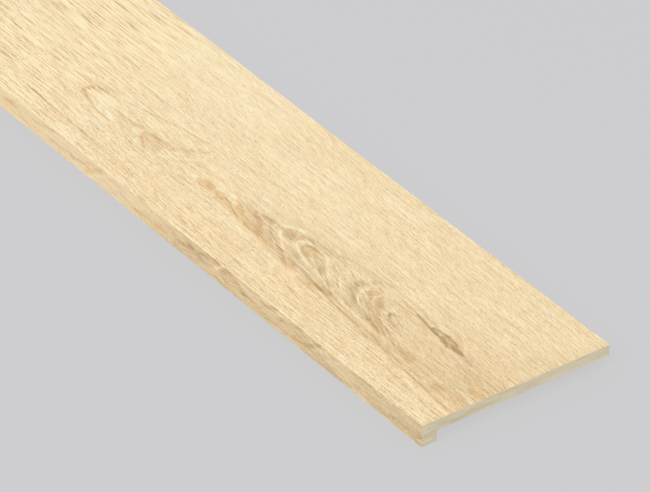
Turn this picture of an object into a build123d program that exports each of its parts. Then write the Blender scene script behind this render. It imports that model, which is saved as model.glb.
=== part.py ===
from build123d import *
import os

# Full stair tread: a flat board with a square nosing strip glued under its front edge,
# so that the nosing is one flush face, twice as thick as the board.
# Millimetres. X runs along the step, the nosing faces -Y and the walking face looks up, +Z.
# The origin is in the middle of the footprint, level with the nosing strip's underside.

# Driving sizes
tread_length = 1300.0
tread_depth = 320.0
board_thickness = 18.0
strip_height = 18.0
strip_depth = 26.0

# Eased edges
walking_edge_radius = 1.2
board_back_radius = 0.6
strip_lower_radius = 0.8
end_arris = 0.3

# Places that the two pieces share
front_face_y = -tread_depth / 2
back_edge_y = front_face_y + tread_depth
strip_back_y = front_face_y + strip_depth
joint_z = strip_height
walking_face_z = joint_z + board_thickness


def section_across(*corners):
    """A closed section at the tread's left end, from its corners as (y, z)."""
    return Plane.YZ.offset(-tread_length / 2) * make_face(Polyline(*corners, close=True))


def corner(section, y, z):
    """The section's corner at (y, z)."""
    return section.vertices().sort_by_distance(Vector(-tread_length / 2, y, z))[0]


def run_along_step(section):
    """Runs a section the tread's full length and eases the edges of both sawn ends."""
    piece = extrude(section, amount=tread_length, dir=(1, 0, 0), clean=False)
    sawn_faces = piece.faces().sort_by(Axis.X)
    return chamfer(sawn_faces[0].edges() + sawn_faces[-1].edges(), end_arris)


def make_tread_board():
    # The underside is two faces: the seat that the strip is glued to, and the free one behind it.
    section = section_across(
        (front_face_y, joint_z),
        (strip_back_y, joint_z),
        (back_edge_y, joint_z),
        (back_edge_y, walking_face_z),
        (front_face_y, walking_face_z),
    )
    section = fillet(corner(section, front_face_y, walking_face_z), walking_edge_radius)
    section = fillet(corner(section, back_edge_y, walking_face_z), board_back_radius)
    section = fillet(corner(section, back_edge_y, joint_z), board_back_radius)
    return run_along_step(section)


def make_nosing_strip():
    section = section_across(
        (front_face_y, 0),
        (strip_back_y, 0),
        (strip_back_y, joint_z),
        (front_face_y, joint_z),
    )
    section = fillet(corner(section, front_face_y, 0), strip_lower_radius)
    section = fillet(corner(section, strip_back_y, 0), strip_lower_radius)
    return run_along_step(section)


pieces = {
    "tread_board": make_tread_board(),
    "nosing_strip": make_nosing_strip(),
}

os.makedirs("parts", exist_ok=True)
for name, piece in pieces.items():
    piece.label = name
    export_step(piece, f"parts/{name}.step")
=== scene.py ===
import bpy
import math
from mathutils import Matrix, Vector


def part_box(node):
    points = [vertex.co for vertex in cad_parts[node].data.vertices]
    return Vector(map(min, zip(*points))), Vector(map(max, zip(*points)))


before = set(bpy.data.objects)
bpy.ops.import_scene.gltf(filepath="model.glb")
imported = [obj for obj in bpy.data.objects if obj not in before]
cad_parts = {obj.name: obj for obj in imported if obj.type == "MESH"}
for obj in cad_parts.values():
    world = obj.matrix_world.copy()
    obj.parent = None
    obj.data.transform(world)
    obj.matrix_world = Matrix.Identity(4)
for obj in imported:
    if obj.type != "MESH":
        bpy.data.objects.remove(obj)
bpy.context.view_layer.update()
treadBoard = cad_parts["tread_board"]
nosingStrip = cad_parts["nosing_strip"]
boardLow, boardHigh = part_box("tread_board")
stripLow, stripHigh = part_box("nosing_strip")
print("frame loaded")


# Node wiring. A Wire is one output socket, and plain arithmetic on it places Math nodes.

def feed(socket, value):
    if isinstance(value, Wire):
        value.tree.links.new(value.socket, socket)
    else:
        socket.default_value = value


class Wire:
    def __init__(self, tree, socket):
        self.tree = tree
        self.socket = socket

    def math(self, operation, *others, first=None):
        node = self.tree.nodes.new("ShaderNodeMath")
        node.operation = operation
        values = (self, *others) if first is None else (first, self)
        for socket, value in zip(node.inputs, values):
            feed(socket, value)
        return Wire(self.tree, node.outputs[0])

    def __add__(self, other):
        return self.math("ADD", other)

    def __sub__(self, other):
        return self.math("SUBTRACT", other)

    def __rsub__(self, other):
        return self.math("SUBTRACT", first=other)

    def __mul__(self, other):
        return self.math("MULTIPLY", other)

    def __truediv__(self, other):
        return self.math("DIVIDE", other)

    def size(self):
        return self.math("ABSOLUTE")

    def power(self, other):
        return self.math("POWER", other)

    def plusProduct(self, one, other):  # self + one * other in a single node
        return one.math("MULTIPLY_ADD", other, self)

    def smooth(self, low, high):  # 0 at low, 1 at high, eased
        node = self.tree.nodes.new("ShaderNodeMapRange")
        node.interpolation_type = "SMOOTHSTEP"
        feed(node.inputs["Value"], self)
        feed(node.inputs["From Min"], low)
        feed(node.inputs["From Max"], high)
        return Wire(self.tree, node.outputs["Result"])


def noise(along, across, length, width, seed, detail=2.0, roughness=0.5):  # streaky, sizes in millimetres
    tree = along.tree
    spot = tree.nodes.new("ShaderNodeCombineXYZ")
    feed(spot.inputs["X"], along / length)
    feed(spot.inputs["Y"], across / width)
    feed(spot.inputs["Z"], seed)
    texture = tree.nodes.new("ShaderNodeTexNoise")
    texture.inputs["Scale"].default_value = 1.0
    texture.inputs["Detail"].default_value = detail
    texture.inputs["Roughness"].default_value = roughness
    tree.links.new(spot.outputs[0], texture.inputs["Vector"])
    return Wire(tree, texture.outputs[0])


def startGroup(name, inputs, outputs):
    tree = bpy.data.node_groups.new(name, "ShaderNodeTree")
    for label, start in inputs.items():
        socket = tree.interface.new_socket(name=label, in_out="INPUT", socket_type="NodeSocketFloat")
        socket.default_value = start
    for label, kind in outputs.items():
        tree.interface.new_socket(name=label, in_out="OUTPUT", socket_type="NodeSocket" + kind)
    entry = tree.nodes.new("NodeGroupInput")
    leave = tree.nodes.new("NodeGroupOutput")
    return tree, {socket.name: Wire(tree, socket) for socket in entry.outputs if socket.name}, leave.inputs


def useGroup(tree, group, **values):
    node = tree.nodes.new("ShaderNodeGroup")
    node.node_tree = group
    for label, value in values.items():
        feed(node.inputs[label], value)
    return {socket.name: Wire(tree, socket) for socket in node.outputs}


def spreadNodes(tree):  # rows of twelve, so that the tree can be read in the editor
    for count, node in enumerate(tree.nodes):
        node.location = (200 * (count % 12), -220 * (count // 12))


def fromScreen(red, green, blue):  # a colour picked on screen, 0 to 255, as the linear colour that nodes take
    def linear(part):
        part /= 255
        return part / 12.92 if part <= 0.04045 else ((part + 0.055) / 1.055) ** 2.4
    return (linear(red), linear(green), linear(blue), 1.0)


def colourRamp(tree, tone, stops):
    ramp = tree.nodes.new("ShaderNodeValToRGB")
    elements = ramp.color_ramp.elements
    while len(elements) < len(stops):
        elements.new(0.5)
    for element, (place, colour) in zip(elements, stops):
        element.position = place
        element.color = fromScreen(*colour)
    feed(ramp.inputs["Fac"], tone)
    return ramp.outputs["Color"]


# Shared effects: fibre grain, wood colour, and the shapes that a figure in the grain is drawn with.

def makeFibreGrain():
    tree, take, give = startGroup(
        "fibre grain",
        {"along": 0, "across": 0, "lineAcross": 0, "seed": 0, "bands": 0.1, "threads": 0.6, "streaks": 0.9,
         "pores": 0.3, "flecks": 0.2},
        {"tone": "Float", "fine": "Float", "height": "Float"},
    )
    along, across, lineAcross, seed = take["along"], take["across"], take["lineAcross"], take["seed"]
    bands = noise(along, lineAcross, length=170, width=11, seed=seed)
    tone = (bands - 0.5) * take["bands"]
    threads = noise(along, lineAcross, length=110, width=1.9, seed=seed + 3.9)
    tone = tone.plusProduct(threads - 0.5, take["threads"])
    streaks = noise(along, across, length=21, width=1.5, seed=seed + 7.3, detail=4, roughness=0.68)
    tone = tone.plusProduct(streaks - 0.5, take["streaks"])
    dashes = noise(along, across, length=6, width=0.7, seed=seed + 13.1, detail=1)
    pores = dashes.smooth(0.54, 0.70)  # only where the noise is high
    tone = tone.plusProduct(pores, take["pores"])
    shine = noise(along, across, length=14, width=0.9, seed=seed + 21.7, detail=1)
    flecks = shine.smooth(0.55, 0.74)
    tone = tone - flecks * take["flecks"]
    feed(give["tone"], tone)
    feed(give["fine"], streaks)
    feed(give["height"], streaks * 0.4 - pores)
    spreadNodes(tree)
    return tree


def makeWoodColour():
    tree, take, give = startGroup("wood colour", {"tone": 0.3, "warmth": 0}, {"colour": "Color"})
    plain = colourRamp(tree, take["tone"], (
        (0.0, (255, 240, 199)),
        (0.15, (252, 231, 187)),
        (0.3, (246, 220, 175)),
        (0.5, (233, 205, 158)),
        (0.7, (215, 187, 140)),
        (0.9, (194, 164, 118)),
        (1.0, (176, 146, 102)),
    ))
    # Warmth adds a little red and takes away green and blue.
    tint = tree.nodes.new("ShaderNodeCombineColor")
    feed(tint.inputs["Red"], take["warmth"] * 0.025 + 1)
    feed(tint.inputs["Green"], 1 - take["warmth"] * 0.012)
    feed(tint.inputs["Blue"], 1 - take["warmth"] * 0.055)
    blend = tree.nodes.new("ShaderNodeVectorMath")
    blend.operation = "MULTIPLY"
    tree.links.new(plain, blend.inputs[0])
    tree.links.new(tint.outputs["Color"], blend.inputs[1])
    tree.links.new(blend.outputs["Vector"], give["colour"])
    spreadNodes(tree)
    return tree


def makeSoftPatch():
    tree, take, give = startGroup(
        "soft patch",
        {"along": 0, "across": 0, "midAlong": 0, "midAcross": 0, "halfLength": 20, "halfWidth": 8, "lean": 0},
        {"mask": "Float"},
    )
    offAlong = take["along"] - take["midAlong"]
    offAcross = take["across"] - take["midAcross"] - offAlong * take["lean"]
    far = (offAlong / take["halfLength"]).power(2) + (offAcross / take["halfWidth"]).power(2)
    feed(give["mask"], 1 - far.smooth(0.35, 1.5))  # full in the middle, gone just outside the half sizes
    spreadNodes(tree)
    return tree


def makeGrainLine():
    tree, take, give = startGroup(
        "grain line",
        {"along": 0, "across": 0, "fromAlong": 0, "fromAcross": 0, "toAlong": 100, "toAcross": 0,
         "bow": 0, "halfWidth": 2},
        {"mask": "Float"},
    )
    share = (take["along"] - take["fromAlong"]) / (take["toAlong"] - take["fromAlong"])
    belly = share * (1 - share) * 4  # 0 at both ends, 1 halfway
    middle = take["fromAcross"] + (take["toAcross"] - take["fromAcross"]) * share
    middle = middle.plusProduct(belly, take["bow"])
    off = (take["across"] - middle).size() / take["halfWidth"]
    feed(give["mask"], (1 - off.smooth(0.2, 1.0)) * belly.smooth(0, 0.35))
    spreadNodes(tree)
    return tree


widthSpot = 50.0  # an arch's half widths are measured this far behind its tip


def makeArchLine():
    # An arch lies on its side and opens towards +X.
    tree, take, give = startGroup(
        "arch line",
        {"along": 0, "across": 0, "tipAlong": 0, "tipAcross": 0, "upper": 20, "lower": 20, "power": 2,
         "halfWidth": 2, "reach": 120, "upperReach": 45},
        {"line": "Float"},
    )
    behind = take["along"] - take["tipAlong"]
    side = take["across"] - take["tipAcross"]
    isUpper = side.smooth(-0.5, 0.5)
    span = take["lower"] + (take["upper"] - take["lower"]) * isUpper
    length = take["reach"] + (take["upperReach"] - take["reach"]) * isUpper
    wide = side.size() + 0.3  # never 0, because the slope is divided by it
    arm = (wide / span).power(take["power"]) * widthSpot
    steep = arm * take["power"] / wide
    gap = (behind - arm) / (steep * steep + 1).math("SQRT")
    fade = 1 - (behind / length).smooth(0.3, 1.0)
    feed(give["line"], (1 - (gap.size() / take["halfWidth"]).smooth(0.1, 1.0)) * fade)
    spreadNodes(tree)
    return tree


def makeNestedRings():
    # Fine lines that follow the arches. Each is numbered by where its tip would be, and the noise is read
    # at that number.
    tree, take, give = startGroup(
        "nested rings",
        {"along": 0, "across": 0, "seed": 0, "ridge": 0, "upper": 26, "lower": 33, "power": 1.7,
         "spacing": 6},
        {"rings": "Float"},
    )
    side = take["across"] - take["ridge"]
    isUpper = side.smooth(-0.5, 0.5)
    span = take["lower"] + (take["upper"] - take["lower"]) * isUpper
    tip = take["along"] - (side.size() / span).power(take["power"]) * widthSpot
    rings = noise(tip / take["spacing"], side, length=1, width=70, seed=take["seed"], roughness=0.6)
    feed(give["rings"], rings)
    spreadNodes(tree)
    return tree


def makePlyStrata():
    # Layers of a sawn ply edge: run and height are millimetres along the edge and up it.
    tree, take, give = startGroup(
        "ply strata",
        {"run": 0, "height": 0, "seed": 0, "layer": 2.2, "waver": 0.5},
        {"tone": "Float", "rough": "Float", "height": "Float"},
    )
    run, height, seed = take["run"], take["height"], take["seed"]
    waver = noise(run, height, length=90, width=40, seed=seed)
    level = height.plusProduct(waver - 0.5, take["waver"]) / take["layer"]
    thickness = noise(level, level, length=1.7, width=1.7, seed=seed + 4, detail=0)
    # Every other layer shows the ends of its fibres, and a thin glue line parts it from the next.
    crossed = (level * math.pi).math("SINE").smooth(-0.35, 0.35)
    glue = 1 - level.math("PINGPONG", 0.5).smooth(0.0, 0.10)
    endPores = noise(run, height, length=0.5, width=0.5, seed=seed + 7)
    longFibres = noise(run, height, length=12, width=0.35, seed=seed + 9)
    fibres = longFibres + (endPores - longFibres) * crossed
    smudges = noise(run, height, length=45, width=9, seed=seed + 12, detail=3, roughness=0.6)
    tone = crossed * 0.11 + (thickness - 0.5) * 0.4
    tone = tone + glue * 0.09 + (fibres - 0.5) * 0.6 + (smudges - 0.5) * 0.9
    feed(give["tone"], tone)
    feed(give["rough"], fibres)
    feed(give["height"], fibres - glue * 0.5)
    spreadNodes(tree)
    return tree


def makePlyColour():
    tree, take, give = startGroup("ply colour", {"tone": 0.4}, {"colour": "Color"})
    plain = colourRamp(tree, take["tone"], (
        (0.0, (240, 230, 201)),
        (0.4, (222, 209, 175)),
        (0.7, (200, 185, 149)),
        (1.0, (168, 150, 114)),
    ))
    tree.links.new(plain, give["colour"])
    spreadNodes(tree)
    return tree


fibreGrain = makeFibreGrain()
nestedRings = makeNestedRings()
plyStrata = makePlyStrata()
plyColour = makePlyColour()
woodColour = makeWoodColour()
softPatch = makeSoftPatch()
grainLine = makeGrainLine()
archLine = makeArchLine()
print("shared grain groups made")


nearEndPlace = 600.0  # places along the tread are counted in millimetres so that the near end is here


def startMaterial(name):
    material = bpy.data.materials.new(name)
    material.use_nodes = True
    tree = material.node_tree
    shader = tree.nodes["Principled BSDF"]
    place = tree.nodes.new("ShaderNodeTexCoord")
    split = tree.nodes.new("ShaderNodeSeparateXYZ")
    tree.links.new(place.outputs["Object"], split.inputs[0])
    x, y, z = (Wire(tree, split.outputs[axis]) * 1000 for axis in "XYZ")  # millimetres
    x = x + (nearEndPlace - boardHigh.x * 1000)
    return material, tree, shader, x, y, z


def finishMaterial(tree, shader, colourGroup, colourInputs, height, depth, roughness):
    colour = useGroup(tree, colourGroup, **colourInputs)["colour"]
    feed(shader.inputs["Base Color"], colour)
    feed(shader.inputs["Roughness"], roughness)
    bump = tree.nodes.new("ShaderNodeBump")
    bump.inputs["Distance"].default_value = depth
    feed(bump.inputs["Height"], height)
    tree.links.new(bump.outputs["Normal"], shader.inputs["Normal"])
    spreadNodes(tree)


# Walking face. Places across the tread are millimetres from the middle of it.
walkingFace = {
    "tone": 0.285,
    "darkerTowardsNearEnd": 0.00010,
    "bands": 0.12,
    "threads": 0.75,
    "streaks": 1.25,
    "pores": 0.34,
    "flecks": 0.20,
    "strength": 1.18,
    "strengthInFront": 0.35,
    "strengthAtEnds": 0.12,
    "strengthFarAway": -0.2,
    "farLines": 2.4,
    "calmInFigure": 0.9,
    "laneShift": 5.0,
    "laneWander": 3.0,
    "rings": 0.45,
    "raggedness": 0.9,
    "cloudWarmth": 2.4,
    "lean": 0.07,
    "leanInBack": 0.07,
    "leanInFigure": 0.27,
    # the two places between which each zone's edge is blurred
    "backZone": (-170, 60),
    "frontZone": (-120, 10),
    "endZones": (40, 400),
    "endZonesAcross": (-90, 140),
    "farZone": (-480, -150),
    "poreDepth": 0.00006,
    "roughness": 0.44,
    "roughnessSpread": 0.25,
}

# Each mark: what it is drawn with, how much darker (or paler, below 0) and warmer it is, and where it lies.
# With over about 140 marks Cycles shows the whole face black.
figureMarks = (
    # broad zones
    ("patch", -0.09, 0.0, dict(midAlong=-260, midAcross=118, halfLength=190, halfWidth=54)),
    ("patch", 0.08, 0.1, dict(midAlong=-165, midAcross=-58, halfLength=120, halfWidth=32)),
    ("patch", 0.10, 0.1, dict(midAlong=620, midAcross=40, halfLength=70, halfWidth=80)),
    ("patch", 0.09, -0.1, dict(midAlong=190, midAcross=-48, halfLength=150, halfWidth=38, lean=-0.05)),
    ("line", 0.13, 0.0, dict(fromAlong=115, fromAcross=-38, toAlong=335, toAcross=2, halfWidth=14)),
    ("line", 0.14, -0.1, dict(fromAlong=58, fromAcross=-38, toAlong=200, toAcross=-80, bow=-5, halfWidth=12)),
    ("line", 0.18, 0.0, dict(fromAlong=165, fromAcross=-62, toAlong=290, toAcross=-82, bow=-3, halfWidth=10)),
    ("patch", 0.20, 0.1, dict(midAlong=345, midAcross=-54, halfLength=25, halfWidth=11, lean=-0.5)),
    ("line", 0.15, 0.0, dict(fromAlong=215, fromAcross=-55, toAlong=320, toAcross=-72, halfWidth=9)),
    ("line", 0.16, 0.3, dict(fromAlong=365, fromAcross=-70, toAlong=480, toAcross=-82, halfWidth=10)),
    ("patch", 0.09, 0.1, dict(midAlong=495, midAcross=15, halfLength=90, halfWidth=19)),
    ("line", 0.11, 0.1, dict(fromAlong=95, fromAcross=-12, toAlong=250, toAcross=3, halfWidth=9)),
    ("patch", -0.08, 0.0, dict(midAlong=50, midAcross=60, halfLength=85, halfWidth=24)),
    ("patch", 0.14, 0.0, dict(midAlong=465, midAcross=-48, halfLength=190, halfWidth=46, lean=-0.03)),
    ("line", 0.12, 0.3, dict(fromAlong=230, fromAcross=-82, toAlong=700, toAcross=-106, bow=-2,
                             halfWidth=20)),
    ("patch", 0.07, 0.2, dict(midAlong=570, midAcross=-60, halfLength=90, halfWidth=60)),
    ("patch", 0.05, 0.5, dict(midAlong=100, midAcross=-128, halfLength=420, halfWidth=30)),
    ("patch", -0.02, 0.6, dict(midAlong=-450, midAcross=0, halfLength=150, halfWidth=190)),
    # the tongue at the far end
    ("arch", 0.20, 0.3, dict(tipAlong=-357, tipAcross=-58, upper=15, lower=20, power=2.6, halfWidth=8,
                             reach=60, upperReach=46)),
    ("patch", 0.16, 0.6, dict(midAlong=-353, midAcross=-57, halfLength=6, halfWidth=14)),
    ("patch", -0.19, -0.2, dict(midAlong=-313, midAcross=-55, halfLength=27, halfWidth=12, lean=-0.12)),
    ("patch", -0.16, -0.5, dict(midAlong=-276, midAcross=-73, halfLength=13, halfWidth=5, lean=-0.2)),
    ("line", -0.13, 0.0, dict(fromAlong=-320, fromAcross=-62, toAlong=-235, toAcross=-84, halfWidth=6)),
    ("line", 0.24, 0.0, dict(fromAlong=-352, fromAcross=-44, toAlong=-255, toAcross=-37, bow=1,
                             halfWidth=2.6)),
    ("line", 0.22, 0.2, dict(fromAlong=-300, fromAcross=-38, toAlong=-120, toAcross=0, bow=4, halfWidth=3)),
    ("line", 0.26, 0.1, dict(fromAlong=-348, fromAcross=-70, toAlong=-258, toAcross=-83, bow=-3,
                             halfWidth=3)),
    ("patch", 0.08, 1.2, dict(midAlong=-298, midAcross=-86, halfLength=22, halfWidth=5, lean=-0.1)),
    ("line", 0.18, 0.2, dict(fromAlong=-430, fromAcross=-129, toAlong=-200, toAcross=-132, bow=2,
                             halfWidth=3)),
    ("line", 0.12, 0.1, dict(fromAlong=-270, fromAcross=-86, toAlong=40, toAcross=-86, bow=-4, halfWidth=3)),
    # small arches between the tongue and the middle
    ("line", 0.16, 0.5, dict(fromAlong=-268, fromAcross=-60, toAlong=-214, toAcross=-55, bow=-1,
                             halfWidth=7)),
    ("arch", 0.20, 0.3, dict(tipAlong=-207, tipAcross=-60, upper=12, lower=26, power=2, halfWidth=4,
                             reach=50)),
    ("patch", 0.18, 0.5, dict(midAlong=-178, midAcross=-64, halfLength=24, halfWidth=14, lean=-0.25)),
    ("line", 0.16, 1.2, dict(fromAlong=-208, fromAcross=-62, toAlong=-178, toAcross=-82, halfWidth=4)),
    ("patch", 0.12, -0.2, dict(midAlong=-156, midAcross=-52, halfLength=14, halfWidth=6)),
    ("line", 0.15, 1.1, dict(fromAlong=-152, fromAcross=-52, toAlong=-104, toAcross=-8, bow=-2,
                             halfWidth=11)),
    ("line", -0.15, -0.5, dict(fromAlong=-145, fromAcross=-76, toAlong=-100, toAcross=-38, halfWidth=6)),
    ("patch", -0.11, -0.3, dict(midAlong=-220, midAcross=-36, halfLength=16, halfWidth=10)),
    ("patch", -0.17, -0.3, dict(midAlong=-72, midAcross=-64, halfLength=7, halfWidth=6)),
    ("patch", -0.20, -0.6, dict(midAlong=-21, midAcross=-55, halfLength=7, halfWidth=5)),
    ("patch", -0.15, 0.0, dict(midAlong=5, midAcross=-52, halfLength=8, halfWidth=3.5)),
    # the brown band
    ("patch", 0.14, 0.6, dict(midAlong=-30, midAcross=-59, halfLength=15, halfWidth=11)),
    ("line", 0.10, 0.7, dict(fromAlong=-20, fromAcross=-68, toAlong=90, toAcross=-81, halfWidth=8)),
    ("patch", 0.10, 0.0, dict(midAlong=104, midAcross=-42, halfLength=10, halfWidth=8)),
    ("patch", 0.22, 1.4, dict(midAlong=-45, midAcross=-63, halfLength=17, halfWidth=10)),
    ("patch", 0.13, 0.5, dict(midAlong=-7, midAcross=-62, halfLength=12, halfWidth=7)),
    ("line", 0.11, 1.0, dict(fromAlong=-6, fromAcross=-36, toAlong=56, toAcross=-70, bow=-1, halfWidth=7)),
    ("line", 0.26, 0.0, dict(fromAlong=-4, fromAcross=-59, toAlong=50, toAcross=-74, halfWidth=2.8)),
    ("line", 0.15, 0.8, dict(fromAlong=-34, fromAcross=-62, toAlong=140, toAcross=-78, halfWidth=13)),
    ("patch", 0.20, 0.9, dict(midAlong=62, midAcross=-61, halfLength=40, halfWidth=14, lean=-0.28)),
    ("patch", 0.15, 0.2, dict(midAlong=113, midAcross=-63, halfLength=14, halfWidth=6, lean=-0.3)),
    ("line", 0.15, 0.8, dict(fromAlong=80, fromAcross=-71, toAlong=275, toAcross=-93, bow=-1, halfWidth=13)),
    ("patch", 0.12, 0.9, dict(midAlong=182, midAcross=-83, halfLength=22, halfWidth=7)),
    ("patch", 0.08, 1.4, dict(midAlong=244, midAcross=-87, halfLength=11, halfWidth=6, lean=-0.3)),
    ("line", 0.17, -0.2, dict(fromAlong=130, fromAcross=-70, toAlong=275, toAcross=-85, bow=1, halfWidth=4)),
    ("line", 0.11, 0.4, dict(fromAlong=44, fromAcross=-41, toAlong=108, toAcross=-70, halfWidth=6)),
    ("line", 0.12, -0.2, dict(fromAlong=90, fromAcross=-48, toAlong=160, toAcross=-73, bow=-3, halfWidth=3)),
    # the great arches, from their tips back
    ("patch", 0.20, -0.4, dict(midAlong=87, midAcross=-40, halfLength=8, halfWidth=5, lean=-0.3)),
    ("line", 0.20, -0.3, dict(fromAlong=48, fromAcross=-45, toAlong=100, toAcross=-39, halfWidth=4)),
    ("arch", -0.14, 0.0, dict(tipAlong=95, tipAcross=-40, upper=18, lower=37, power=1.35, halfWidth=2,
                              reach=80, upperReach=16)),
    ("patch", 0.20, -0.5, dict(midAlong=106, midAcross=-39, halfLength=7, halfWidth=5, lean=-0.3)),
    ("arch", -0.27, -0.2, dict(tipAlong=103, tipAcross=-36, upper=20, lower=32, power=1.4, halfWidth=4,
                               reach=140, upperReach=20)),
    ("line", -0.15, -0.3, dict(fromAlong=134, fromAcross=-65, toAlong=262, toAcross=-77, bow=-1,
                               halfWidth=3)),
    ("line", -0.14, 0.0, dict(fromAlong=94, fromAcross=-37, toAlong=146, toAcross=-15, bow=1, halfWidth=3.2)),
    ("patch", -0.15, -0.9, dict(midAlong=131, midAcross=-22, halfLength=8, halfWidth=5, lean=-0.3)),
    ("patch", 0.27, 0.1, dict(midAlong=127, midAcross=-40, halfLength=16, halfWidth=10, lean=-0.35)),
    ("patch", 0.12, 1.3, dict(midAlong=145, midAcross=-32, halfLength=5, halfWidth=7)),
    ("line", 0.12, 1.3, dict(fromAlong=136, fromAcross=-43, toAlong=160, toAcross=-60, bow=-1,
                             halfWidth=3.5)),
    ("arch", -0.25, -0.2, dict(tipAlong=149, tipAcross=-39, upper=16, lower=22, power=2.2, halfWidth=3,
                               reach=140, upperReach=40)),
    ("patch", 0.10, -1.0, dict(midAlong=172, midAcross=-61, halfLength=13, halfWidth=6, lean=-0.2)),
    ("arch", 0.20, 0.2, dict(tipAlong=162, tipAcross=-41, upper=14, lower=15, power=2.2, halfWidth=3,
                             reach=45, upperReach=30)),
    ("patch", 0.20, 1.3, dict(midAlong=178, midAcross=-41, halfLength=17, halfWidth=12, lean=-0.15)),
    ("line", 0.14, 0.0, dict(fromAlong=140, fromAcross=-25, toAlong=240, toAcross=-20, bow=3, halfWidth=4)),
    ("patch", 0.19, -0.9, dict(midAlong=212, midAcross=-48, halfLength=19, halfWidth=8, lean=-0.4)),
    ("line", 0.20, 0.0, dict(fromAlong=168, fromAcross=-51, toAlong=238, toAcross=-61, halfWidth=2.5)),
    ("arch", -0.20, -0.4, dict(tipAlong=206, tipAcross=-28, upper=14, lower=34, power=1.4, halfWidth=4,
                               reach=100, upperReach=20)),
    ("line", 0.14, -0.2, dict(fromAlong=224, fromAcross=-38, toAlong=264, toAcross=-39, halfWidth=3)),
    ("arch", -0.24, 0.0, dict(tipAlong=251, tipAcross=-41, upper=14, lower=32, power=1.3, halfWidth=2.5,
                              reach=46, upperReach=20)),
    ("patch", 0.22, 0.0, dict(midAlong=258, midAcross=-66, halfLength=12, halfWidth=3.5)),
    # the near arches
    ("arch", 0.18, -0.9, dict(tipAlong=284, tipAcross=-33, upper=36, lower=38, power=2, halfWidth=11,
                              reach=90, upperReach=24)),
    ("line", 0.14, -0.2, dict(fromAlong=292, fromAcross=-55, toAlong=400, toAcross=-80, bow=-2, halfWidth=5)),
    ("arch", -0.27, 0.0, dict(tipAlong=299, tipAcross=-36, upper=30, lower=38, power=2, halfWidth=2.6,
                              reach=46, upperReach=20)),
    ("patch", 0.24, 0.9, dict(midAlong=312, midAcross=-27, halfLength=11, halfWidth=13)),
    ("arch", -0.20, 0.2, dict(tipAlong=321, tipAcross=-31, upper=24, lower=30, power=2, halfWidth=2.8,
                              reach=34, upperReach=20)),
    ("patch", 0.12, 1.4, dict(midAlong=337, midAcross=-35, halfLength=15, halfWidth=8, lean=-0.6)),
    ("line", 0.10, 0.2, dict(fromAlong=322, fromAcross=-24, toAlong=366, toAcross=-52, bow=1, halfWidth=7)),
    ("line", 0.18, 0.0, dict(fromAlong=322, fromAcross=-22, toAlong=420, toAcross=-14, bow=2, halfWidth=3)),
    ("patch", 0.08, -0.9, dict(midAlong=318, midAcross=-51, halfLength=12, halfWidth=6, lean=-0.2)),
    ("arch", 0.26, -0.5, dict(tipAlong=367, tipAcross=-41, upper=13, lower=16, power=2, halfWidth=4, reach=40,
                              upperReach=26)),
    ("patch", -0.08, 0.0, dict(midAlong=360, midAcross=-38, halfLength=5, halfWidth=10)),
    ("patch", 0.16, 0.0, dict(midAlong=369, midAcross=-41, halfLength=5, halfWidth=9)),
    ("patch", 0.10, 0.5, dict(midAlong=281, midAcross=-36, halfLength=8, halfWidth=15, lean=-0.3)),
    ("line", -0.14, 0.0, dict(fromAlong=302, fromAcross=-45, toAlong=362, toAcross=-69, bow=-1,
                              halfWidth=2.6)),
    ("line", -0.12, 0.2, dict(fromAlong=326, fromAcross=-20, toAlong=316, toAcross=-42, halfWidth=4)),
    ("patch", 0.12, 0.8, dict(midAlong=357, midAcross=-66, halfLength=9, halfWidth=8, lean=-0.3)),
    ("patch", 0.07, 0.9, dict(midAlong=384, midAcross=-75, halfLength=22, halfWidth=11, lean=-0.4)),
    ("line", 0.20, 0.1, dict(fromAlong=362, fromAcross=-60, toAlong=412, toAcross=-70, halfWidth=3)),
    ("line", 0.20, -0.3, dict(fromAlong=286, fromAcross=-88, toAlong=372, toAcross=-93, halfWidth=3)),
    # long lines beside the arches
    ("line", 0.10, 0.2, dict(fromAlong=-170, fromAcross=-6, toAlong=230, toAcross=40, bow=2, halfWidth=3)),
    ("line", 0.16, 0.0, dict(fromAlong=200, fromAcross=-14, toAlong=440, toAcross=-8, bow=12, halfWidth=3.5)),
    ("line", 0.10, 0.0, dict(fromAlong=110, fromAcross=2, toAlong=300, toAcross=20, bow=2, halfWidth=2.5)),
    ("line", 0.17, 0.0, dict(fromAlong=235, fromAcross=-80, toAlong=460, toAcross=-100, bow=-3, halfWidth=4)),
    ("line", 0.16, 0.0, dict(fromAlong=245, fromAcross=-74, toAlong=420, toAcross=-92, bow=-2, halfWidth=3)),
    ("line", -0.11, 0.0, dict(fromAlong=300, fromAcross=-78, toAlong=430, toAcross=-86, halfWidth=3)),
    ("line", 0.14, 0.0, dict(fromAlong=380, fromAcross=-90, toAlong=680, toAcross=-122, halfWidth=4)),
    ("line", 0.12, 0.0, dict(fromAlong=420, fromAcross=-112, toAlong=700, toAcross=-144, halfWidth=4)),
    ("line", -0.06, 0.2, dict(fromAlong=330, fromAcross=-103, toAlong=640, toAcross=-118, halfWidth=5)),
    ("line", 0.10, 0.1, dict(fromAlong=-460, fromAcross=-126, toAlong=20, toAcross=-144, bow=2, halfWidth=4)),
    # the knot and its tails
    ("line", 0.26, 0.0, dict(fromAlong=326, fromAcross=-3, toAlong=452, toAcross=-18, bow=0.5, halfWidth=2)),
    ("line", 0.30, 0.1, dict(fromAlong=385, fromAcross=-10, toAlong=456, toAcross=-20, halfWidth=3.4)),
    ("patch", 0.34, 0.1, dict(midAlong=436, midAcross=-15, halfLength=11, halfWidth=3.6, lean=-0.2)),
    ("line", 0.42, -0.2, dict(fromAlong=424, fromAcross=-13, toAlong=462, toAcross=-6, bow=1, halfWidth=3)),
    ("patch", 0.20, 0.0, dict(midAlong=447, midAcross=-14, halfLength=9, halfWidth=4)),
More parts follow.
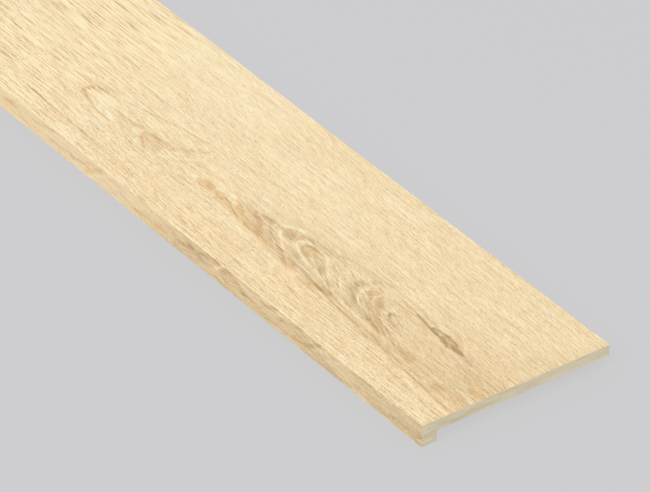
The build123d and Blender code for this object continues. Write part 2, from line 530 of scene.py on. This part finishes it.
    ("patch", 0.40, -0.1, dict(midAlong=458, midAcross=-19, halfLength=9, halfWidth=4, lean=-0.35)),
    ("patch", 0.28, -0.1, dict(midAlong=470, midAcross=-22, halfLength=8, halfWidth=3.4, lean=-0.5)),
    ("patch", 0.30, 0.7, dict(midAlong=470, midAcross=-14, halfLength=21, halfWidth=8, lean=-0.22)),
    ("line", 0.28, 0.1, dict(fromAlong=450, fromAcross=-10, toAlong=502, toAcross=-18, bow=4, halfWidth=2.4)),
    ("line", 0.24, 0.1, dict(fromAlong=466, fromAcross=-20, toAlong=482, toAcross=-12, halfWidth=1.8)),
    ("patch", 0.34, 0.2, dict(midAlong=486, midAcross=-19, halfLength=10, halfWidth=3.8, lean=-0.05)),
    ("patch", 0.40, -0.5, dict(midAlong=498, midAcross=-18, halfLength=8, halfWidth=3)),
    ("line", 0.22, -0.2, dict(fromAlong=492, fromAcross=-17, toAlong=535, toAcross=-24, halfWidth=3)),
    ("patch", 0.08, 1.0, dict(midAlong=473, midAcross=-1, halfLength=20, halfWidth=8, lean=-0.5)),
    ("line", -0.10, -0.6, dict(fromAlong=464, fromAcross=9, toAlong=506, toAcross=-13, halfWidth=3)),
    ("patch", 0.07, 0.8, dict(midAlong=476, midAcross=-31, halfLength=11, halfWidth=5, lean=-0.5)),
    # warm clouds towards the near end
    ("patch", 0.06, 0.9, dict(midAlong=466, midAcross=-82, halfLength=24, halfWidth=9, lean=-0.3)),
    ("patch", 0.14, 1.0, dict(midAlong=545, midAcross=-89, halfLength=14, halfWidth=10)),
    ("patch", 0.06, 1.2, dict(midAlong=575, midAcross=-50, halfLength=28, halfWidth=10, lean=-0.35)),
    ("patch", 0.08, 0.9, dict(midAlong=576, midAcross=-82, halfLength=14, halfWidth=9)),
)
markGroups = {"arch": (archLine, "line"), "line": (grainLine, "mask"), "patch": (softPatch, "mask")}


def addMarks(tree, marks, along, across, figure, warmth):
    for kind, darker, warmer, where in marks:
        group, output = markGroups[kind]
        mask = useGroup(tree, group, along=along, across=across, **where)[output]
        figure = figure.plusProduct(mask, darker)
        if warmer:
            warmth = warmth.plusProduct(mask, warmer)
    return figure, warmth


def useGrain(tree, values, along, across, lineAcross, seed):
    return useGroup(tree, fibreGrain, along=along, across=across, lineAcross=lineAcross, seed=seed,
                    bands=values["bands"], threads=values["threads"], streaks=values["streaks"],
                    pores=values["pores"], flecks=values["flecks"])


def spreadRoughness(values, fine):
    return (fine - 0.5) * values["roughnessSpread"] + values["roughness"]


def makeWalkingFace():
    values = walkingFace
    material, tree, shader, x, y, z = startMaterial("oak walking face")
    # Long threads run with the front edge. The short streaks lean towards it, most where the figure is.
    fibreAcross = y + x * values["lean"]
    fibreAcross = fibreAcross.plusProduct(x * values["leanInBack"], y.smooth(*values["backZone"]))
    figureAcross = y + x * values["leanInFigure"]
    leanZone = useGroup(tree, softPatch, along=x, across=y, midAlong=290, midAcross=-44, halfLength=190,
                        halfWidth=42, lean=-0.12)["mask"]
    plain = useGrain(tree, values, x, fibreAcross, y, 1.0)
    leaning = useGrain(tree, values, x, figureAcross, y, 81.0)
    grain = {part: plain[part].plusProduct(leaning[part] - plain[part], leanZone) for part in plain}
    inFront = 1 - y.smooth(*values["frontZone"])
    atEnds = x.size().smooth(*values["endZones"]) * (1 - y.smooth(*values["endZonesAcross"]))
    strength = inFront * values["strengthInFront"] + values["strength"]
    strength = strength.plusProduct(atEnds, values["strengthAtEnds"])
    # Far along the tread the face shows longer and straighter lines instead of the short streaks.
    farAway = 1 - x.smooth(*values["farZone"])
    strength = strength.plusProduct(farAway, values["strengthFarAway"])
    farLines = noise(x, y, length=60, width=2.4, seed=91.0)
    # Neighbouring fibres are shifted along, so that every mark ends in a ragged row of them.
    lanes = noise(x, y, length=26, width=1.6, seed=3.0)
    wander = noise(x, y, length=50, width=22, seed=5.0)
    along = x + (lanes - 0.5) * values["laneShift"]
    across = y + (wander - 0.5) * values["laneWander"]
    cloud = noise(x, y, length=60, width=16, seed=11.0)
    warmth = (cloud - 0.5) * values["cloudWarmth"]
    rings = useGroup(tree, nestedRings, along=x, across=across, seed=17.0, ridge=-38)["rings"]
    ringZone = useGroup(tree, softPatch, along=x, across=y, midAlong=240, midAcross=-46, halfLength=170,
                        halfWidth=32, lean=-0.08)["mask"]
    figure = (x * values["darkerTowardsNearEnd"]).plusProduct((rings - 0.5) * ringZone, values["rings"])
    figure, warmth = addMarks(tree, figureMarks, along, across, figure, warmth)
    ragged = (grain["fine"] - 0.5) * values["raggedness"] + 1
    calm = 1 - figure.math("MAXIMUM", 0) * values["calmInFigure"]
    tone = grain["tone"] * strength * calm + figure * ragged + values["tone"]
    tone = tone.plusProduct((farLines - 0.5) * farAway, values["farLines"])
    finishMaterial(tree, shader, woodColour, dict(tone=tone, warmth=warmth), grain["height"],
                   values["poreDepth"], spreadRoughness(values, grain["fine"]))
    return material


# Nosing face, over the fronts of both pieces. Places across it are millimetres up from its lowest edge.
nosingFace = {
    "tone": 0.17,
    "darkerFromMiddle": 0.27,
    "darkerAtNearEnd": 0.14,
    "stripDarker": 0.05,
    "bands": 0.3,
    "threads": 0.9,
    "streaks": 1.0,
    "pores": 0.3,
    "flecks": 0.2,
    "rings": 0.8,
    "laneShift": 14.0,
    "laneLift": 6.0,
    "raggedness": 1.2,
    "cloudWarmth": 3.4,
    "warmth": 1.1,
    "coolerFromMiddle": 0.5,
    "coolerAtNearEnd": 0.6,
    # the two places between which each zone's edge is blurred
    "darkerFromMiddleZone": (-100, 60),
    "darkerAtNearEndZone": (500, 620),
    "aboveStripZone": (12, 22),
    "coolerFromMiddleZone": (-300, 0),
    "coolerAtNearEndZone": (150, 500),
    "poreDepth": 0.00005,
    "roughness": 0.46,
    "roughnessSpread": 0.25,
}
nosingMarks = (
    ("patch", 0.11, 1.2, dict(midAlong=-408, midAcross=20, halfLength=22, halfWidth=8, lean=0.2)),
    ("line", 0.20, -0.3, dict(fromAlong=-345, fromAcross=22, toAlong=-285, toAcross=34, halfWidth=5)),
    ("patch", -0.05, 1.0, dict(midAlong=-322, midAcross=15, halfLength=16, halfWidth=5)),
    ("line", 0.16, -0.7, dict(fromAlong=-305, fromAcross=12, toAlong=-240, toAcross=17, halfWidth=5)),
    ("line", 0.20, 0.4, dict(fromAlong=-250, fromAcross=10, toAlong=-196, toAcross=24, halfWidth=6)),
    ("line", 0.20, 1.2, dict(fromAlong=-212, fromAcross=8, toAlong=-164, toAcross=30, halfWidth=8)),
    ("line", -0.14, -0.3, dict(fromAlong=-188, fromAcross=12, toAlong=-140, toAcross=34, halfWidth=3)),
    ("line", 0.12, 1.3, dict(fromAlong=-92, fromAcross=10, toAlong=-42, toAcross=20, halfWidth=7)),
    ("patch", 0.08, 1.3, dict(midAlong=-18, midAcross=15, halfLength=20, halfWidth=6, lean=0.2)),
    ("line", 0.18, 1.3, dict(fromAlong=12, fromAcross=10, toAlong=64, toAcross=28, halfWidth=7)),
    ("line", 0.15, -0.2, dict(fromAlong=46, fromAcross=20, toAlong=122, toAcross=33, halfWidth=6)),
    ("patch", 0.13, -0.3, dict(midAlong=86, midAcross=25, halfLength=15, halfWidth=5, lean=0.25)),
    ("line", 0.14, -0.2, dict(fromAlong=66, fromAcross=9, toAlong=106, toAcross=16, halfWidth=4)),
    ("line", 0.12, 0.5, dict(fromAlong=96, fromAcross=36, toAlong=134, toAcross=28, halfWidth=5)),
    ("line", -0.34, -0.3, dict(fromAlong=140, fromAcross=37, toAlong=113, toAcross=19, halfWidth=4)),
    ("line", -0.26, -0.3, dict(fromAlong=114, fromAcross=25, toAlong=140, toAcross=5, halfWidth=4)),
    ("patch", 0.22, -0.2, dict(midAlong=137, midAcross=25, halfLength=8, halfWidth=5, lean=0.3)),
    ("patch", 0.14, -0.3, dict(midAlong=139, midAcross=13, halfLength=12, halfWidth=4, lean=0.2)),
    ("line", 0.18, 0.6, dict(fromAlong=136, fromAcross=33, toAlong=192, toAcross=15, bow=1, halfWidth=8)),
    ("line", -0.14, -0.4, dict(fromAlong=172, fromAcross=34, toAlong=208, toAcross=20, halfWidth=3.5)),
    ("patch", 0.06, -0.3, dict(midAlong=193, midAcross=17, halfLength=16, halfWidth=5)),
    ("patch", 0.05, 1.4, dict(midAlong=213, midAcross=13, halfLength=11, halfWidth=5)),
    ("line", 0.24, -0.2, dict(fromAlong=226, fromAcross=22, toAlong=272, toAcross=36, halfWidth=5)),
    ("line", -0.16, -0.2, dict(fromAlong=252, fromAcross=22, toAlong=292, toAcross=35, halfWidth=2.6)),
    ("line", 0.20, 0.0, dict(fromAlong=262, fromAcross=20, toAlong=330, toAcross=34, halfWidth=5)),
    ("patch", 0.16, 1.3, dict(midAlong=318, midAcross=15, halfLength=18, halfWidth=7, lean=0.15)),
    ("line", 0.22, 0.0, dict(fromAlong=330, fromAcross=12, toAlong=372, toAcross=36, halfWidth=6)),
    ("line", -0.16, 0.0, dict(fromAlong=344, fromAcross=12, toAlong=392, toAcross=35, halfWidth=3)),
    ("line", 0.12, 0.0, dict(fromAlong=352, fromAcross=14, toAlong=402, toAcross=30, halfWidth=5)),
    ("patch", -0.06, -0.4, dict(midAlong=428, midAcross=28, halfLength=24, halfWidth=6)),
    ("line", 0.18, 0.0, dict(fromAlong=434, fromAcross=30, toAlong=492, toAcross=35, halfWidth=4)),
    ("line", 0.10, 1.0, dict(fromAlong=440, fromAcross=14, toAlong=520, toAcross=18, halfWidth=5)),
    ("line", 0.16, -0.6, dict(fromAlong=520, fromAcross=13, toAlong=640, toAcross=16, halfWidth=7)),
    ("patch", 0.04, 1.2, dict(midAlong=590, midAcross=17, halfLength=12, halfWidth=6)),
)


def makeNosingFace():
    values = nosingFace
    material, tree, shader, x, y, z = startMaterial("oak nosing face")
    grain = useGrain(tree, values, x, z, z, 31.0)
    # Every mark is broken into a ragged row of fibres, and wavers up and down.
    lanes = noise(x, z, length=26, width=1.4, seed=33.0)
    lift = noise(x, z, length=34, width=9, seed=35.0)
    along = x + (lanes - 0.5) * values["laneShift"]
    across = z + (lift - 0.5) * values["laneLift"]
    rings = useGroup(tree, nestedRings, along=along, across=z, seed=37.0, ridge=42, upper=20, lower=24,
                     power=1.6, spacing=7)["rings"]
    cloud = noise(x, z, length=50, width=12, seed=39.0)
    figure = x.smooth(*values["darkerFromMiddleZone"]) * values["darkerFromMiddle"]
    figure = figure.plusProduct(x.smooth(*values["darkerAtNearEndZone"]), values["darkerAtNearEnd"])
    figure = figure.plusProduct(1 - z.smooth(*values["aboveStripZone"]), values["stripDarker"])
    figure = figure.plusProduct(rings - 0.5, values["rings"])
    warmth = (cloud - 0.5) * values["cloudWarmth"]
    warmth = warmth - x.smooth(*values["coolerFromMiddleZone"]) * values["coolerFromMiddle"]
    warmth = warmth - x.smooth(*values["coolerAtNearEndZone"]) * values["coolerAtNearEnd"]
    warmth = warmth + values["warmth"]
    figure, warmth = addMarks(tree, nosingMarks, along, across, figure, warmth)
    ragged = (grain["fine"] - 0.5) * values["raggedness"] + 1
    tone = grain["tone"] + figure * ragged + values["tone"]
    finishMaterial(tree, shader, woodColour, dict(tone=tone, warmth=warmth), grain["height"],
                   values["poreDepth"], spreadRoughness(values, grain["fine"]))
    return material


# Sawn faces, where the layers show: both ends, and the board's long back edge. Sizes are in millimetres.
sawnFace = {
    "tone": 0.28,
    "layer": 2.2,
    "waver": 0.9,
    "palerInBack": 0.07,
    "palerZone": (-60, 40),
    "jointDarker": 0.22,
    "jointLift": 0.5,
    "jointHalfHeight": 1.4,
    "sawLines": 0.25,
    "sawDepth": 0.00012,
    "roughness": 0.72,
    "roughnessSpread": 0.3,
}


def makeSawnFace(name, runAxis, seed):
    values = sawnFace
    material, tree, shader, x, y, z = startMaterial(name)
    run = {"X": x, "Y": y}[runAxis]
    layers = useGroup(tree, plyStrata, run=run, height=z, seed=seed, layer=values["layer"],
                      waver=values["waver"])
    # Fine upright lines that the saw left.
    sawLines = noise(z, run, length=30, width=0.6, seed=seed + 20)
    tone = layers["tone"] + (sawLines - 0.5) * values["sawLines"] + values["tone"]
    tone = tone.plusProduct(y.smooth(*values["palerZone"]), -values["palerInBack"])
    # The joint between the board and the strip shows as a fine darker line, up to the strip's back face.
    jointHeight = stripHigh.z * 1000 + values["jointLift"]
    jointEnd = stripHigh.y * 1000
    fromJoint = (z - jointHeight).size() / values["jointHalfHeight"]
    joint = (1 - fromJoint.smooth(0.2, 1.0)) * (1 - y.smooth(jointEnd - 2, jointEnd + 4))
    tone = tone.plusProduct(joint, values["jointDarker"])
    height = layers["height"] + sawLines * 0.6
    finishMaterial(tree, shader, plyColour, dict(tone=tone), height, values["sawDepth"],
                   spreadRoughness(values, layers["rough"]))
    return material


# Underside, and the strip's back and lower faces: plain backing veneer.
underside = {
    "tone": 0.44,
    "bands": 0.5,
    "threads": 0.5,
    "streaks": 0.5,
    "pores": 0.2,
    "flecks": 0.1,
    "cloudTone": 0.3,
    "cloudWarmth": 2.0,
    "poreDepth": 0.00006,
    "roughness": 0.6,
    "roughnessSpread": 0.3,
}


def makeUnderside():
    values = underside
    material, tree, shader, x, y, z = startMaterial("plain underside")
    across = y + z
    grain = useGrain(tree, values, x, across, across, 61.0)
    cloud = noise(x, across, length=90, width=24, seed=63.0)
    tone = grain["tone"] + (cloud - 0.5) * values["cloudTone"] + values["tone"]
    warmth = (cloud - 0.5) * values["cloudWarmth"]
    finishMaterial(tree, shader, woodColour, dict(tone=tone, warmth=warmth), grain["height"],
                   values["poreDepth"], spreadRoughness(values, grain["fine"]))
    return material


materials = {
    "walking": makeWalkingFace(),
    "nosing": makeNosingFace(),
    "sawn": makeSawnFace("sawn ply end", "Y", 41.0),
    "back": makeSawnFace("sawn ply back edge", "X", 51.0),
    "under": makeUnderside(),
}
print("materials made")

materialOrder = ("under", "walking", "nosing", "back", "sawn")

# Which way a face looks, how squarely, the finish that it takes, and its place on the bake map: the two axes
# laid along U and V, and the map's low and high U and V. A face that two entries fit takes the later one.
boardFaces = (
    ((0, 0, -1), 0.70, "under", "xy", (0.005, 0.995, 0.130, 0.290)),
    ((0, 0, 1), 0.50, "walking", "xy", (0.005, 0.995, 0.300, 0.995)),
    ((0, -1, 0), 0.70, "nosing", "xz", (0.005, 0.995, 0.090, 0.125)),
    ((0, 1, 0), 0.75, "back", "xz", (0.005, 0.995, 0.050, 0.085)),
    ((1, 0, 0), 0.80, "sawn", "yz", (0.005, 0.495, 0.005, 0.045)),
    ((-1, 0, 0), 0.80, "sawn", "yz", (0.505, 0.995, 0.005, 0.045)),
)
stripFaces = (
    ((0, 0, 1), 0.70, "under", "xy", (0.005, 0.995, 0.070, 0.250)),
    ((0, 0, -1), 0.70, "under", "xy", (0.005, 0.995, 0.510, 0.740)),
    ((0, 1, 0), 0.70, "under", "xz", (0.005, 0.995, 0.260, 0.500)),
    ((0, -1, 0), 0.70, "nosing", "xz", (0.005, 0.995, 0.750, 0.995)),
    ((1, 0, 0), 0.80, "sawn", "yz", (0.005, 0.085, 0.005, 0.060)),
    ((-1, 0, 0), 0.80, "sawn", "yz", (0.105, 0.185, 0.005, 0.060)),
)


def facesLooking(tree, faceNormal, direction, limit):
    facing = tree.nodes.new("ShaderNodeVectorMath")
    facing.operation = "DOT_PRODUCT"
    facing.inputs[1].default_value = direction
    tree.links.new(faceNormal, facing.inputs[0])
    chosen = tree.nodes.new("FunctionNodeCompare")
    chosen.operation = "GREATER_THAN"
    chosen.inputs[1].default_value = limit
    tree.links.new(facing.outputs["Value"], chosen.inputs[0])
    return chosen.outputs[0]


def placeOnMap(tree, place, low, high, axes, mapBox):
    lowU, highU, lowV, highV = mapBox
    spot = tree.nodes.new("ShaderNodeCombineXYZ")
    for socket, axis, start, end in zip(spot.inputs, axes, (lowU, lowV), (highU, highV)):
        side = "xyz".index(axis)
        share = (place[axis] - low[side]) / (high[side] - low[side])
        feed(socket, share * (end - start) + start)
    return spot.outputs[0]


def finishFaces(node, low, high, faces):
    node.data.materials.clear()
    for label in materialOrder:
        node.data.materials.append(materials[label])
    tree = bpy.data.node_groups.new("finish by face " + node.name, "GeometryNodeTree")
    tree.interface.new_socket(name="Geometry", in_out="INPUT", socket_type="NodeSocketGeometry")
    tree.interface.new_socket(name="Geometry", in_out="OUTPUT", socket_type="NodeSocketGeometry")
    entry = tree.nodes.new("NodeGroupInput")
    leave = tree.nodes.new("NodeGroupOutput")
    faceNormal = tree.nodes.new("GeometryNodeFieldOnDomain")
    faceNormal.domain = "FACE"
    faceNormal.data_type = "FLOAT_VECTOR"
    tree.links.new(tree.nodes.new("GeometryNodeInputNormal").outputs[0], faceNormal.inputs["Value"])
    split = tree.nodes.new("ShaderNodeSeparateXYZ")
    tree.links.new(tree.nodes.new("GeometryNodeInputPosition").outputs[0], split.inputs[0])
    place = {axis: Wire(tree, split.outputs[axis.upper()]) for axis in "xyz"}
    flow = entry.outputs["Geometry"]
    mapSpot = None
    for direction, limit, label, axes, mapBox in faces:
        chosen = facesLooking(tree, faceNormal.outputs["Value"], direction, limit)
        setFinish = tree.nodes.new("GeometryNodeSetMaterialIndex")
        setFinish.inputs["Material Index"].default_value = materialOrder.index(label)
        tree.links.new(flow, setFinish.inputs["Geometry"])
        tree.links.new(chosen, setFinish.inputs["Selection"])
        flow = setFinish.outputs["Geometry"]
        spot = placeOnMap(tree, place, low, high, axes, mapBox)
        if mapSpot is None:
            mapSpot = spot
            continue
        pick = tree.nodes.new("GeometryNodeSwitch")
        pick.input_type = "VECTOR"
        tree.links.new(chosen, pick.inputs["Switch"])
        tree.links.new(mapSpot, pick.inputs["False"])
        tree.links.new(spot, pick.inputs["True"])
        mapSpot = pick.outputs[0]
    store = tree.nodes.new("GeometryNodeStoreNamedAttribute")
    store.data_type = "FLOAT2"
    store.domain = "CORNER"
    store.inputs["Name"].default_value = "OFBake"
    tree.links.new(flow, store.inputs["Geometry"])
    tree.links.new(mapSpot, store.inputs["Value"])
    tree.links.new(store.outputs["Geometry"], leave.inputs["Geometry"])
    spreadNodes(tree)
    modifier = node.modifiers.new("finish by face", "NODES")
    modifier.node_group = tree


finishFaces(treadBoard, boardLow, boardHigh, boardFaces)
finishFaces(nosingStrip, stripLow, stripHigh, stripFaces)
print("faces finished")


# Studio: pale floor, soft light, and the camera.
studioValues = {
    "floorHalf": 40.0,
    "floorColour": (206, 206, 208),
    "floorGlow": 0.86,  # the share of the floor's brightness that doesn't depend on the lamps
    "floorRoughness": 0.9,
    "skyStrength": 0.85,
    "lampPower": 56.0,
    "lampSize": 3.0,
    "lampPlace": (1.5, -3.0, 3.5),
}
cameraValues = {
    "azimuth": 54.195,  # degrees, from straight in front of the nosing towards the near end
    "elevation": 34.506,
    "distance": 7.28694,
    "aimRight": -0.12910,  # from the near top corner to the point aimed at
    "aimUp": 0.24051,
    "lens": 301.96,
    "sensor": 36.0,
    "seesTo": 200.0,
}


def makeFloor():
    values = studioValues
    half = values["floorHalf"]
    mesh = bpy.data.meshes.new("studio_floor")
    corners = [(-half, -half, 0), (half, -half, 0), (half, half, 0), (-half, half, 0)]
    mesh.from_pydata(corners, [], [(0, 1, 2, 3)])
    floor = bpy.data.objects.new("studio_floor", mesh)
    bpy.context.scene.collection.objects.link(floor)
    material = bpy.data.materials.new("studio floor")
    material.use_nodes = True
    shader = material.node_tree.nodes["Principled BSDF"]
    colour = fromScreen(*values["floorColour"])
    lit = 1 - values["floorGlow"]
    shader.inputs["Base Color"].default_value = (colour[0] * lit, colour[1] * lit, colour[2] * lit, 1)
    shader.inputs["Emission Color"].default_value = colour
    shader.inputs["Emission Strength"].default_value = values["floorGlow"]
    shader.inputs["Roughness"].default_value = values["floorRoughness"]
    shader.inputs["Specular IOR Level"].default_value = 0.0
    mesh.materials.append(material)


def makeLight():
    values = studioValues
    world = bpy.data.worlds.new("soft studio")
    world.use_nodes = True
    background = world.node_tree.nodes["Background"]
    background.inputs["Color"].default_value = (1, 1, 1, 1)
    background.inputs["Strength"].default_value = values["skyStrength"]
    bpy.context.scene.world = world
    lamp = bpy.data.lights.new("soft box", "AREA")
    lamp.shape = "SQUARE"
    lamp.size = values["lampSize"]
    lamp.energy = values["lampPower"]
    lampObject = bpy.data.objects.new("soft_box", lamp)
    lampObject.location = values["lampPlace"]
    lampObject.rotation_euler = Vector(values["lampPlace"]).to_track_quat("Z", "Y").to_euler()
    bpy.context.scene.collection.objects.link(lampObject)


def makeCamera():
    values = cameraValues
    azimuth = math.radians(values["azimuth"])
    elevation = math.radians(values["elevation"])
    level = math.cos(elevation)
    back = Vector((math.sin(azimuth) * level, -math.cos(azimuth) * level, math.sin(elevation)))
    turn = back.to_track_quat("Z", "Y")
    nearCorner = Vector((boardHigh.x, boardLow.y, boardHigh.z))
    camera = bpy.data.cameras.new("camera")
    camera.lens = values["lens"]
    camera.sensor_width = values["sensor"]
    camera.clip_end = values["seesTo"]
    cameraObject = bpy.data.objects.new("camera", camera)
    offset = Vector((values["aimRight"], values["aimUp"], values["distance"]))
    cameraObject.location = nearCorner + turn @ offset
    cameraObject.rotation_euler = turn.to_euler()
    bpy.context.scene.collection.objects.link(cameraObject)
    bpy.context.scene.camera = cameraObject
    bpy.context.scene.view_settings.view_transform = "Standard"


makeFloor()
makeLight()
makeCamera()
print("studio made")
